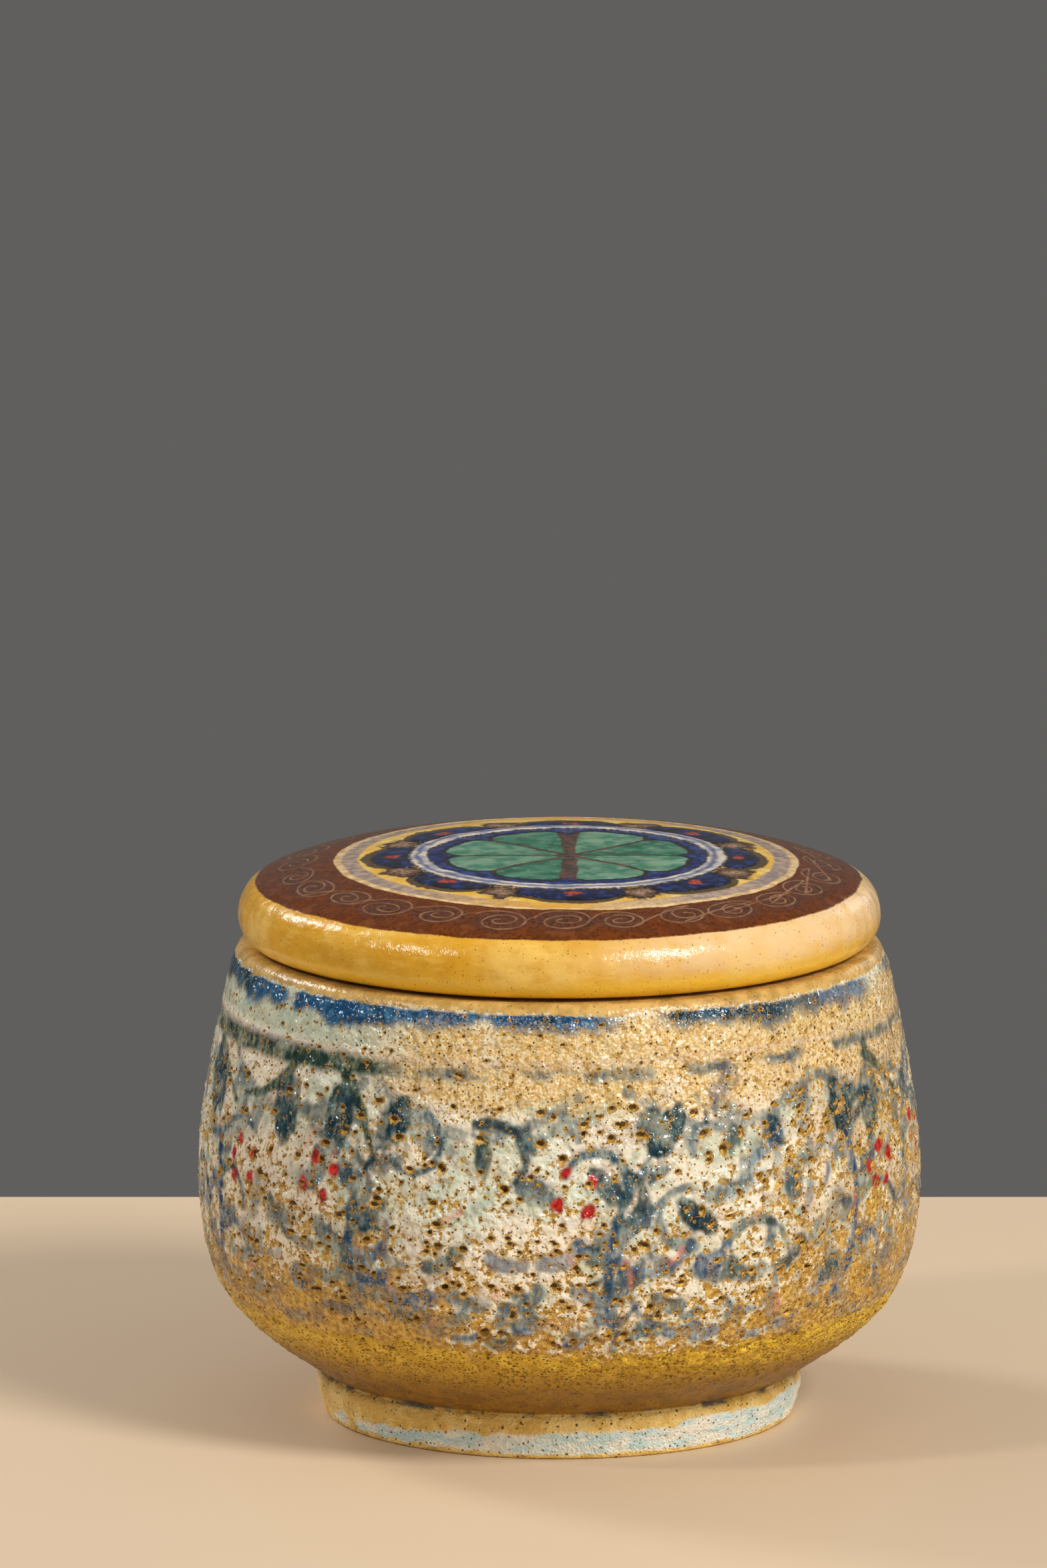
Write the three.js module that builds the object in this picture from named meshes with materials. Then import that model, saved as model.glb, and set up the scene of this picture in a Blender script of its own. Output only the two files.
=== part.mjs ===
// A squat, hand-thrown sugar jar: a bellied body on a turned foot ring, and a thick
// cushion-shaped lid whose flange drops into the mouth.
// Millimetres, +Z up. The origin is the centre of the face that the foot stands on.

import * as THREE from 'three';

// Foot ring, turned out of the body's own clay
const footRadius = 40.0;        // at its widest, just under the crease
const footHeight = 7.6;         // table to the crease under the body
const footTuck = 1.2;           // how much narrower it stands at the table
const footCrease = 0.8;         // how far the crease cuts in
const footRingWidth = 5.4;      // across the ring, at the table
const footEdgeRound = 0.8;      // both edges of the face it stands on
const recessDepth = 5.2;        // hollow inside the ring
const recessDraft = 1.4;        // slope of the hollow's side
const recessFillet = 2.2;       // hollow's side into the underside

// Body, outside, from the crease up
const bellyRadius = 59.9;       // the widest place of the jar
const bellyRise = 33.5;         // crease to belly
const shoulderRise = 31.9;      // belly to shoulder
const shoulderTuck = 4.9;       // belly radius less shoulder radius
const shoulderLean = 11.2;      // degrees that the wall leans in at the shoulder
const rimRise = 5.8;            // shoulder to the top of the rim
const rimTuck = 3.2;            // shoulder radius less the rim's outer radius
const rimWidth = 5.0;           // flat top of the rim, mouth to outer edge
const rimRound = 1.2;           // inner edge of the rim
const underbellyAngle = 33.4;   // degrees above level at which the body leaves the foot

// Body, inside
const wall = 5.2;               // at the belly
const floorThickness = 6.0;     // over the hollow of the foot
const floorRunIn = 14.0;        // foot radius less the flat of the floor
const ringPitch = 8.6;          // throwing rings left by the fingers
const ringDepth = 0.4;          // half of a throwing ring's height

// Lid, from its seat up
const seatClearance = 0.3;      // lid above the rim
const lidOverhang = 1.3;        // lid beyond the rim
const lidUnderTuck = 4.5;       // lid radius less the edge of its flat seat
const lidWaistRise = 4.1;       // seat to the lid's widest place
const lidShoulderRise = 10.4;   // seat to the edge of its top
const lidShoulderTuck = 4.4;    // lid radius less the edge of its top
const lidShoulderSlope = 20.6;  // degrees that the top falls away at its edge
const lidCrownRise = 14.5;      // seat to the middle of its top
const lidThickness = 6.2;       // over the hollow underneath
const flangeClearance = 1.2;    // flange to the mouth, all round
const flangeDepth = 6.2;        // below the seat
const flangeWidth = 4.2;        // through the flange
const flangeTaper = 0.7;        // how far it draws in towards its end
const flangeRound = 1.3;        // both edges of its end
const hollowFillet = 4.5;       // flange into the hollow's ceiling
const hollowDome = 0.8;         // how much higher the ceiling is in the middle

// How full the curves are: each handle as a share of the height, or radius, that it crosses
const footFullness = { side: 0.6, swell: 0.9 };
const underbellyFullness = { leave: 0.485, arrive: 0.67 };
const upperFullness = { leave: 0.33, arrive: 0.1 };
const rimFullness = { leave: 0.6, arrive: 0.4 };
const insideFullness = { mouth: 0.22, belly: 0.42, underbelly: 0.66, floor: 1.2 };
const lidSideFullness = { seat: 0.72, underWaist: 0.47, overWaist: 0.62, shoulder: 0.42 };
const lidDomeFullness = { shoulder: 0.275, crown: 0.415 };

const facets = 56;              // round the axis
const insideSteps = 38;         // down the inside wall, about four to a throwing ring

// Heights and radii that follow from the sizes above
const creaseRadius = footRadius - footCrease;
const footStandRadius = footRadius - footTuck;
const recessRadius = footStandRadius - footRingWidth;
const bellyHeight = footHeight + bellyRise;
const shoulderHeight = bellyHeight + shoulderRise;
const rimHeight = shoulderHeight + rimRise;
const shoulderRadius = bellyRadius - shoulderTuck;
const rimRadius = shoulderRadius - rimTuck;
const mouthRadius = rimRadius - rimWidth;
const floorHeight = recessDepth + floorThickness;
const floorRadius = footRadius - floorRunIn;
const seatHeight = rimHeight + seatClearance;
const lidRadius = rimRadius + lidOverhang;
const flangeRadius = mouthRadius - flangeClearance;

const radians = THREE.MathUtils.degToRad;
const at = (radius, height) => new THREE.Vector2(radius, height);
const heading = (degrees) => at(Math.cos(radians(degrees)), Math.sin(radians(degrees)));

// A smooth stretch of outline that leaves along one handle and arrives along the other.
function bend(from, leave, arrive, to, steps) {
  return new THREE.CubicBezierCurve(from, leave, arrive, to).getPoints(steps);
}

// A rounded edge between two straight runs, tangent to both: corner is where they would meet.
function roundEdge(before, corner, after, radius, steps) {
  const back = before.clone().sub(corner).normalize();
  const on = after.clone().sub(corner).normalize();
  const reach = radius / Math.tan(Math.acos(back.dot(on)) / 2);
  const from = corner.clone().addScaledVector(back, reach);
  const to = corner.clone().addScaledVector(on, reach);
  return new THREE.QuadraticBezierCurve(from, corner, to).getPoints(steps);
}

// Joins stretches end to end and drops the point that two neighbours share.
function outline(...stretches) {
  const points = [];
  for (const point of stretches.flat()) {
    const last = points[points.length - 1];
    if (!last || last.distanceTo(point) > 0.001) points.push(point);
  }
  return points;
}

// Spins an outline round the Z axis. It runs up the outside, so its faces point out.
function thrown(points) {
  return new THREE.LatheGeometry(points, facets).rotateX(Math.PI / 2);
}

// The hollow inside the foot, the ring it stands on, and the ring's outside up to the crease.
function footOutline() {
  const ceiling = at(recessRadius - recessDraft, recessDepth);
  const innerEdge = at(recessRadius, 0);
  const outerEdge = at(footStandRadius, 0);
  const side = at(footRadius, footHeight * footFullness.side);
  const swell = at(footRadius, footHeight * footFullness.swell);
  const crease = at(creaseRadius, footHeight);
  return outline(
    [at(0, recessDepth)],
    roundEdge(at(0, recessDepth), ceiling, innerEdge, recessFillet, 4),
    roundEdge(ceiling, innerEdge, outerEdge, footEdgeRound, 3),
    roundEdge(innerEdge, outerEdge, side, footEdgeRound, 3),
    bend(side, swell, swell, crease, 4),
  );
}

// The outside wall from the crease over the belly and the shoulder to the rim's flat top.
function wallOutline() {
  const crease = at(creaseRadius, footHeight);
  const belly = at(bellyRadius, bellyHeight);
  const shoulder = at(shoulderRadius, shoulderHeight);
  const rim = at(rimRadius, rimHeight);
  const rising = heading(underbellyAngle);
  const leaning = heading(90 + shoulderLean);
  return outline(
    bend(crease, crease.clone().addScaledVector(rising, bellyRise * underbellyFullness.leave),
      at(bellyRadius, bellyHeight - bellyRise * underbellyFullness.arrive), belly, 12),
    bend(belly, at(bellyRadius, bellyHeight + shoulderRise * upperFullness.leave),
      shoulder.clone().addScaledVector(leaning, -shoulderRise * upperFullness.arrive), shoulder, 7),
    bend(shoulder, shoulder.clone().addScaledVector(leaning, rimRise * rimFullness.leave),
      at(rimRadius + rimTuck * rimFullness.arrive, rimHeight), rim, 6),
  );
}

// The inside wall down to the floor, before the fingers' rings are added.
function insideCurve() {
  const mouthHeight = rimHeight - rimRound;
  const drop = mouthHeight - bellyHeight;
  const fall = bellyHeight - floorHeight;
  const inside = bellyRadius - wall;
  const curve = new THREE.Path();
  curve.moveTo(mouthRadius, mouthHeight);
  curve.bezierCurveTo(mouthRadius, mouthHeight - drop * insideFullness.mouth,
    inside, bellyHeight + drop * insideFullness.belly, inside, bellyHeight);
  curve.bezierCurveTo(inside, bellyHeight - fall * insideFullness.underbelly,
    floorRadius + floorRunIn * insideFullness.floor, floorHeight, floorRadius, floorHeight);
  return curve;
}

// Throwing rings fade out below the mouth and above the floor.
function insideOutline() {
  const points = insideCurve().getSpacedPoints(insideSteps);
  for (const point of points) {
    const below = THREE.MathUtils.smoothstep(rimHeight - point.y, rimRound, ringPitch * 2);
    const above = THREE.MathUtils.smoothstep(point.y - floorHeight, 0, ringPitch / 2);
    const phase = 2 * Math.PI * (point.y - floorHeight) / ringPitch;
    point.x += ringDepth * Math.sin(phase) * below * above;
  }
  return points;
}

function bodyOutline() {
  const rimTop = at(rimRadius, rimHeight);
  const rimCorner = at(mouthRadius, rimHeight);
  const mouth = at(mouthRadius, rimHeight - rimRound);
  return outline(
    footOutline(),
    wallOutline(),
    roundEdge(rimTop, rimCorner, mouth, rimRound, 4),
    insideOutline(),
    [at(0, floorHeight)],
  );
}

// From the middle of the hollow out to the flange, round its end and up to the seat.
function lidUndersideOutline() {
  const flangeEnd = seatHeight - flangeDepth;
  const ceilingHeight = seatHeight + lidCrownRise - lidThickness;
  const flangeInside = flangeRadius - flangeWidth;
  const ceilingEdge = at(flangeInside - hollowFillet, ceilingHeight - hollowDome);
  const ceilingCorner = at(flangeInside, ceilingHeight - hollowDome);
  const innerEdge = at(flangeInside, flangeEnd);
  const outerEdge = at(flangeRadius - flangeTaper, flangeEnd);
  const root = at(flangeRadius, seatHeight);
  const seatEdge = at(lidRadius - lidUnderTuck, seatHeight);
  return outline(
    bend(at(0, ceilingHeight), at(ceilingEdge.x / 3, ceilingHeight),
      at(ceilingEdge.x * 2 / 3, ceilingEdge.y), ceilingEdge, 4),
    roundEdge(ceilingEdge, ceilingCorner, innerEdge, hollowFillet, 4),
    roundEdge(ceilingCorner, innerEdge, outerEdge, flangeRound, 3),
    roundEdge(innerEdge, outerEdge, root, flangeRound, 3),
    roundEdge(outerEdge, root, seatEdge, rimRound / 2, 2),
    [seatEdge],
  );
}

// The rolled side of the lid and its gently domed top.
function lidTopOutline() {
  const seatEdge = at(lidRadius - lidUnderTuck, seatHeight);
  const waist = at(lidRadius, seatHeight + lidWaistRise);
  const shoulder = at(lidRadius - lidShoulderTuck, seatHeight + lidShoulderRise);
  const crown = at(0, seatHeight + lidCrownRise);
  const upperRise = lidShoulderRise - lidWaistRise;
  const inwards = heading(180 - lidShoulderSlope);
  return outline(
    bend(seatEdge, at(seatEdge.x + lidUnderTuck * lidSideFullness.seat, seatHeight),
      at(lidRadius, waist.y - lidWaistRise * lidSideFullness.underWaist), waist, 6),
    bend(waist, at(lidRadius, waist.y + upperRise * lidSideFullness.overWaist),
      shoulder.clone().addScaledVector(inwards, -upperRise * lidSideFullness.shoulder), shoulder, 7),
    bend(shoulder, shoulder.clone().addScaledVector(inwards, shoulder.x * lidDomeFullness.shoulder),
      at(shoulder.x * lidDomeFullness.crown, crown.y), crown, 8),
  );
}

function glazed(name, geometry, color, roughness) {
  const material = new THREE.MeshStandardMaterial({ color, roughness, metalness: 0 });
  const mesh = new THREE.Mesh(geometry, material);
  mesh.name = name;
  return mesh;
}

const jar = new THREE.Group();
jar.name = 'sugar_jar';
jar.add(glazed('jar_body', thrown(bodyOutline()), 0xc2a467, 0.4));
jar.add(glazed('lid', thrown(outline(lidUndersideOutline(), lidTopOutline())), 0xd9a34a, 0.22));

export default jar;
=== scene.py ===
import math

import bpy
import numpy as np
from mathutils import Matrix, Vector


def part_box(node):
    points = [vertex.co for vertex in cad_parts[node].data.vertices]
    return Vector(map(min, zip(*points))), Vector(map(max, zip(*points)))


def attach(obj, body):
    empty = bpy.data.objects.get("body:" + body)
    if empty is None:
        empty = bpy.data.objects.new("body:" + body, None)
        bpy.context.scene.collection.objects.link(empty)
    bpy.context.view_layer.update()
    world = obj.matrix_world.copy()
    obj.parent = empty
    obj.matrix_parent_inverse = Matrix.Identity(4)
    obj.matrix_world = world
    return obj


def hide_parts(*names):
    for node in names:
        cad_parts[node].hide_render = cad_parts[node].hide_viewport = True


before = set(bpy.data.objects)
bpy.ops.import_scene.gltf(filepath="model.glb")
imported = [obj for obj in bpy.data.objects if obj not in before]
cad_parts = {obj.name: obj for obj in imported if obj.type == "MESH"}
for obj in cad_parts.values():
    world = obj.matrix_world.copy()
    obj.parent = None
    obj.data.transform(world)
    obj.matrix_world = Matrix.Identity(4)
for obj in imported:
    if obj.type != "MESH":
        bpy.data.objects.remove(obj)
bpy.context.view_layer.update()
mm = 0.001
curveSteps, edgeSteps = 48, 12    # points on each drawn curve and on each rounded edge
print("frame loaded")

# Shapes of the two pieces in mm, as they were thrown and turned

bodyShape = dict(
    footRadius=40.0, footHeight=7.6, footTuck=1.2, footCrease=0.8, footRing=5.4, footEdge=0.8,
    recessDepth=5.2, recessDraft=1.4, recessFillet=2.2,
    bellyRise=33.5, shoulderRise=31.9, shoulderTuck=4.9, shoulderLean=11.2,
    rimRise=5.8, rimTuck=3.2, rimWidth=5.0, rimRound=1.2, underbellyAngle=33.4,
    wall=5.2, floor=6.0, floorRunIn=14.0, ringPitch=8.6, ringDepth=0.4,
)

lidShape = dict(
    underTuck=4.5, waistRise=4.1, shoulderRise=10.4, shoulderTuck=4.4, shoulderSlope=20.6,
    thickness=6.2, flangeClearance=1.2, flangeDepth=6.2, flangeWidth=4.2, flangeTaper=0.7,
    flangeRound=1.3, hollowFillet=4.5, hollowDome=0.8,
)

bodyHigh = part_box("jar_body")[1]
lidLow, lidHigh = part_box("lid")
bellyRadius = bodyHigh.x / mm
rimHeight = bodyHigh.z / mm
lidRadius = lidHigh.x / mm
crownHeight = lidHigh.z / mm
seatHeight = lidLow.z / mm + lidShape["flangeDepth"]
floorHeight = bodyShape["recessDepth"] + bodyShape["floor"]


def point(radius, z):
    return np.array([radius, z], float)


def heading(degrees):
    return point(math.cos(math.radians(degrees)), math.sin(math.radians(degrees)))


def bend(start, leave, arrive, end):
    t = np.linspace(0, 1, curveSteps)[:, None]
    return (1 - t) ** 3 * start + 3 * (1 - t) ** 2 * t * leave + 3 * (1 - t) * t ** 2 * arrive + t ** 3 * end


def roundEdge(before, corner, after, radius):
    back = (before - corner) / np.linalg.norm(before - corner)
    on = (after - corner) / np.linalg.norm(after - corner)
    reach = radius / math.tan(math.acos(float(back @ on)) / 2)
    first, last = corner + back * reach, corner + on * reach
    t = np.linspace(0, 1, edgeSteps)[:, None]
    return (1 - t) ** 2 * first + 2 * (1 - t) * t * corner + t ** 2 * last


def evenRows(step, *paths):
    path = np.vstack(paths)
    gaps = np.linalg.norm(np.diff(path, axis=0), axis=1)
    path = path[np.concatenate([[True], gaps > 1e-6])]
    along = np.concatenate([[0], np.cumsum(gaps[gaps > 1e-6])])
    at = np.linspace(0, along[-1], max(int(round(along[-1] / step)), 1) + 1)
    return np.column_stack([np.interp(at, along, path[:, 0]), np.interp(at, along, path[:, 1])])


# A spun surface: rows of vertices round the axis, more of them where the glaze needs it.
# Column 0 faces -Y, the front, and the columns run round towards +X.

def spin(stretches):
    rows, counts, blocks = [], [], {}
    for name, path, columns in stretches:
        path = path if not rows else path[1:]
        blocks[name] = slice(len(rows), len(rows) + len(path))
        rows += list(path)
        counts += [columns] * len(path)
    counts = [1 if row[0] < 1e-6 else columns for row, columns in zip(rows, counts)]
    rows = np.array(rows)
    starts = np.concatenate([[0], np.cumsum(counts)])
    run = np.gradient(rows, axis=0)
    run /= np.linalg.norm(run, axis=1)[:, None]
    rowOf = np.repeat(np.arange(len(rows)), counts)
    turn = np.concatenate([np.arange(c) * 2 * math.pi / c for c in counts])
    return dict(rows=rows, counts=counts, starts=starts, blocks=blocks, rowOf=rowOf, turn=turn,
                normal=np.column_stack([run[:, 1], -run[:, 0]]), high=np.zeros(starts[-1]))


def spot(surface, name):    # the vertices of one stretch
    block = surface["blocks"][name]
    return slice(surface["starts"][block.start], surface["starts"][block.stop])


def places(surface):    # x, y, z of each vertex in mm, with its height over the outline
    rows, normal = surface["rows"][surface["rowOf"]], surface["normal"][surface["rowOf"]]
    radius = rows[:, 0] + surface["high"] * normal[:, 0]
    turn = surface["turn"]
    return np.column_stack([radius * np.sin(turn), -radius * np.cos(turn),
                            rows[:, 1] + surface["high"] * normal[:, 1]])


def stitches(surface):
    quads, triangles = [], []
    starts, counts = surface["starts"], surface["counts"]
    for a, b, na, nb in zip(starts, starts[1:], counts, counts[1:]):
        if na == nb:
            j = np.arange(na)
            k = (j + 1) % na
            quads.append(np.column_stack([a + j, a + k, b + k, b + j]))
            continue
        few, many, n = (a, b, na) if na < nb else (b, a, nb)
        if n == 1:    # a fan from the axis
            j = np.arange(max(na, nb))
            fans = [[many + j, many + (j + 1) % len(j), np.full(len(j), few)]]
        else:    # one row has twice the columns of the other
            j = np.arange(n)
            k, mid, far = (j + 1) % n, many + 2 * j + 1, many + (2 * j + 2) % (2 * n)
            fans = [[many + 2 * j, mid, few + j], [mid, few + k, few + j], [mid, far, few + k]]
        triangles += [np.column_stack(fan if na > nb else fan[::-1]) for fan in fans]
    return np.vstack(quads), np.vstack(triangles)


def build(name, surface, layers):
    quads, triangles = stitches(surface)
    mesh = bpy.data.meshes.new(name)
    spots = places(surface) * mm
    corners = np.concatenate([quads.ravel(), triangles.ravel()]).astype(np.int32)
    begins = np.concatenate([np.arange(len(quads)) * 4, len(quads) * 4 + np.arange(len(triangles)) * 3])
    mesh.vertices.add(len(spots))
    mesh.vertices.foreach_set("co", spots.astype(np.float32).ravel())
    mesh.loops.add(len(corners))
    mesh.loops.foreach_set("vertex_index", corners)
    mesh.polygons.add(len(begins))
    mesh.polygons.foreach_set("loop_start", begins.astype(np.int32))
    mesh.update(calc_edges=True)
    mesh.polygons.foreach_set("use_smooth", np.ones(len(begins), bool))
    values = list(layers.values())
    for first in range(0, len(values), 3):    # three masks travel in each colour attribute
        colours = np.ones((len(spots), 4), np.float32)
        for channel, value in enumerate(values[first:first + 3]):
            colours[:, channel] = np.clip(value, 0, 1)
        carrier = mesh.attributes.new("masks%d" % (first // 3), "FLOAT_COLOR", "POINT")
        carrier.data.foreach_set("color", colours.ravel())
    piece = bpy.data.objects.new(name, mesh)
    bpy.context.scene.collection.objects.link(piece)
    return piece


# Numbers that vary over a surface

def ramp(value, low, high):
    t = np.clip((value - low) / (high - low), 0, 1)
    return t * t * (3 - 2 * t)


def ring(value, low, high, soft):
    return ramp(value, low - soft, low + soft) * (1 - ramp(value, high - soft, high + soft))


def grain(where, cell, seed):    # smooth noise from -1 to 1 in cells of that many mm
    scaled = where / cell
    base = np.floor(scaled).astype(np.int64)
    part = scaled - base
    part = part * part * (3 - 2 * part)
    total = np.zeros(len(where))
    for corner in range(8):
        step = np.array([corner & 1, corner >> 1 & 1, corner >> 2])
        x, y, z = (base + step).T
        mixed = (x * 73856093) ^ (y * 19349663) ^ (z * 83492791) ^ (seed * 40503)
        mixed = ((mixed ^ (mixed >> 13)) * 1274126177) & 0xffffffff
        mixed = ((mixed ^ (mixed >> 15)) * 2246822519) & 0xffffffff
        share = np.prod(np.where(step, part, 1 - part), axis=1)
        total += share * ((mixed >> 8 & 0xffff) / 32767.5 - 1)
    return total


def around(turn, phases):    # a slow hand wobble round the jar, from about -1 to 1
    waves = [math.sin(phase * 2.3 + 1) * np.sin((n + 1) * turn + phase) for n, phase in enumerate(phases)]
    return sum(waves) / 1.6


# The fine side of a piece as a flat sheet of rows and columns, to be dented and painted on

def sheetOf(surface, first, last):
    low, high = surface["blocks"][first].start, surface["blocks"][last].stop
    columns = surface["counts"][low]
    rows = surface["rows"][low:high]
    steps = np.linalg.norm(np.diff(rows, axis=0), axis=1)
    return dict(span=slice(surface["starts"][low], surface["starts"][high]), columns=columns,
                radius=rows[:, 0], height=rows[:, 1], along=np.concatenate([[0], np.cumsum(steps)]),
                shape=(high - low, columns))


def patch(sheet, turn, along, reach):    # rows, columns and local x, y in mm near a point
    rows = np.nonzero(np.abs(sheet["along"] - along) < reach)[0]
    middle = np.interp(along, sheet["along"], sheet["radius"])
    pitch = 2 * math.pi / sheet["columns"]
    spread = min(int(reach / (middle * pitch)) + 1, sheet["columns"] // 2 - 1)
    columns = int(round(turn / pitch)) + np.arange(-spread, spread + 1)
    x = (columns * pitch - turn)[None, :] * sheet["radius"][rows][:, None]
    y = np.broadcast_to((sheet["along"][rows] - along)[:, None], x.shape)
    return np.ix_(rows, columns % sheet["columns"]), x, y


def fromLine(x, y, path, widths):    # distance to the edge of a brush line, negative inside it
    best = np.full(x.shape, 1e9)
    for (x0, y0), (x1, y1), w0, w1 in zip(path[:-1], path[1:], widths[:-1], widths[1:]):
        dx, dy = x1 - x0, y1 - y0
        t = np.clip(((x - x0) * dx + (y - y0) * dy) / (dx * dx + dy * dy + 1e-9), 0, 1)
        best = np.minimum(best, np.hypot(x - x0 - t * dx, y - y0 - t * dy) - (w0 + t * (w1 - w0)) / 2)
    return best


# The body

glazeBody = dict(
    columns=1280, rowStep=0.29, coarse=1.0, seed=11,
    coverHeights=[0, 17, 20, 24, 29, 36, 46, 56, 63, 68, 73, 79],    # how well the pale glaze covers there
    cover=[-1.2, -1.0, -0.55, -0.3, -0.02, 0.28, 0.48, 0.58, 0.66, 0.85, 0.9, 1.2],
    mustardHeight=20.5, bareHeight=77.3, creamHigh=0.14, creamWave=0.045, crustRough=0.15,
    paleSide=-66, sandySide=88, runSide=9,    # degrees from the front towards +X
    craters=3300, craterSizes=(0.18, 0.72), pinholesAbove=63,
    craterHeights=[20, 25, 31, 50, 62, 68, 74, 77], craterShare=[0.15, 0.7, 1, 0.95, 0.85, 0.6, 0.45, 0.1],
    poolHeight=3.5, poolLean=2.2, poolSide=60.16, wobble=0.12, sunk=0.28, throwing=0.035, throwingPitch=3.1,
)


def bodyOutline():
    s = bodyShape
    foot, stand = s["footRadius"], s["footRadius"] - s["footTuck"]
    recess = stand - s["footRing"]
    crease = point(foot - s["footCrease"], s["footHeight"])
    bellyHeight = s["footHeight"] + s["bellyRise"]
    belly = point(bellyRadius, bellyHeight)
    shoulder = point(bellyRadius - s["shoulderTuck"], bellyHeight + s["shoulderRise"])
    rim = point(shoulder[0] - s["rimTuck"], rimHeight)
    mouth = point(rim[0] - s["rimWidth"], rimHeight - s["rimRound"])
    ceiling = point(recess - s["recessDraft"], s["recessDepth"])
    inner, outer = point(recess, 0), point(stand, 0)
    side, swell = point(foot, s["footHeight"] * 0.6), point(foot, s["footHeight"] * 0.9)
    axis = point(0, s["recessDepth"])
    lean = heading(90 + s["shoulderLean"])
    standEdge = roundEdge(inner, outer, side, s["footEdge"])
    under = [[axis], roundEdge(axis, ceiling, inner, s["recessFillet"]),
             roundEdge(ceiling, inner, outer, s["footEdge"]), standEdge[:1]]
    footSide = [standEdge, bend(side, swell, swell, crease)]
    lower = [bend(crease, crease + heading(s["underbellyAngle"]) * s["bellyRise"] * 0.485,
                  belly - point(0, s["bellyRise"] * 0.67), belly)]
    upper = [bend(belly, belly + point(0, s["shoulderRise"] * 0.33),
                  shoulder - lean * s["shoulderRise"] * 0.1, shoulder),
             bend(shoulder, shoulder + lean * s["rimRise"] * 0.6,
                  point(rim[0] + s["rimTuck"] * 0.4, rimHeight), rim)]
    rimTop = [rim[None], roundEdge(rim, point(mouth[0], rimHeight), mouth, s["rimRound"])]
    drop = mouth[1] - bellyHeight
    fall, inside = bellyHeight - floorHeight, point(bellyRadius - s["wall"], bellyHeight)
    floorEdge = point(foot - s["floorRunIn"], floorHeight)
    wall = [bend(mouth, mouth - point(0, drop * 0.22), inside + point(0, drop * 0.42), inside),
            bend(inside, inside - point(0, fall * 0.66),
                 floorEdge + point(s["floorRunIn"] * 1.2, 0), floorEdge)]
    return under, footSide, lower, upper, rimTop, wall, [floorEdge[None], [point(0, floorHeight)]]


def throwBody():
    g = glazeBody
    under, footSide, lower, upper, rimTop, inside, floor = bodyOutline()
    fine, n = g["rowStep"], g["columns"]
    coarse = evenRows(g["coarse"], *under)
    wall = evenRows(g["coarse"], *inside)
    return spin([
        ("under", coarse, n // 4), ("underStep", coarse[-1:], n // 4),
        ("footStep", evenRows(0.4, coarse[-1:], coarse[-1:] + [0.4, 0]), n // 2),
        ("foot", evenRows(fine, coarse[-1:] + [0.4, 0], *[footSide[0][1:], footSide[1]]), n),
        ("lower", evenRows(fine, *lower), n), ("upper", evenRows(fine, *upper), n),
        ("rim", evenRows(fine, *rimTop), n),
        ("mouthStep", wall[:3], n // 2), ("inside", wall[2:], n // 4),
        ("floor", evenRows(g["coarse"], *floor), n // 4),
    ])


body = throwBody()
sheet = sheetOf(body, "foot", "rim")
masks = {name: np.zeros(body["starts"][-1]) for name in (
    "blueGrey", "teal", "indigo", "green", "celadon", "peach", "red", "coral", "rimBlue",
    "rust", "pit", "speckle", "mustard", "bare", "turquoise", "dent", "shade")}
# Views of the same numbers as rows and columns, which the brush and the craters work on
flat = {name: masks[name][sheet["span"]].reshape(sheet["shape"]) for name in masks}
relief = body["high"][sheet["span"]].reshape(sheet["shape"])
skin = places(body)[sheet["span"]]
height = np.repeat(sheet["height"], sheet["columns"]).reshape(sheet["shape"])
turnGrid = np.broadcast_to(np.arange(sheet["columns"]) * 2 * math.pi / sheet["columns"], sheet["shape"])
rimRows = 20    # the last rows of the sheet, which roll over the rim
wallRows = slice(body["blocks"]["lower"].start - body["blocks"]["foot"].start, -rimRows)
print("body thrown:", len(body["high"]), "points")


def alongAt(z):    # distance along the outline at which the wall reaches a height
    return float(np.interp(z, sheet["height"][wallRows], sheet["along"][wallRows]))


def field(cell, seed, stretch=1.0):
    return grain(skin * [1, 1, stretch], cell, seed).reshape(sheet["shape"])


def facing(side, low, high):
    return ramp(np.cos(turnGrid - math.radians(glazeBody[side])), low, high)


def lay(layer, amount, where=...):    # the stronger of what is there and what is added
    flat[layer][where] = np.maximum(flat[layer][where], amount)


coarseField, middleField, fineField = field(6.0, 1), field(2.4, 2), field(1.15, 3)
sandField, runField = field(0.62, 4), field(0.7, 5, 0.28)
feather = 0.4 * middleField + 0.35 * fineField + 0.55 * runField
leftness = facing("paleSide", 0.7, 0.92)    # 1 on the paler side
rightness = facing("sandySide", 0.3, 0.95)    # 1 on the sandier side
aside = 1 - facing("runSide", 0.8, 0.96)    # 0 where the glaze ran lowest
print("noise fields made")


# Where the pale glaze stayed on and where the ochre crust shows. Each mask crosses 0.5
# at its edge, and the finish adds the fine grain of the edge.

def edgeOf(inwards, width):    # inwards in mm, or in shares of a pattern
    return np.clip(0.5 + inwards / width, 0, 1)


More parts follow.
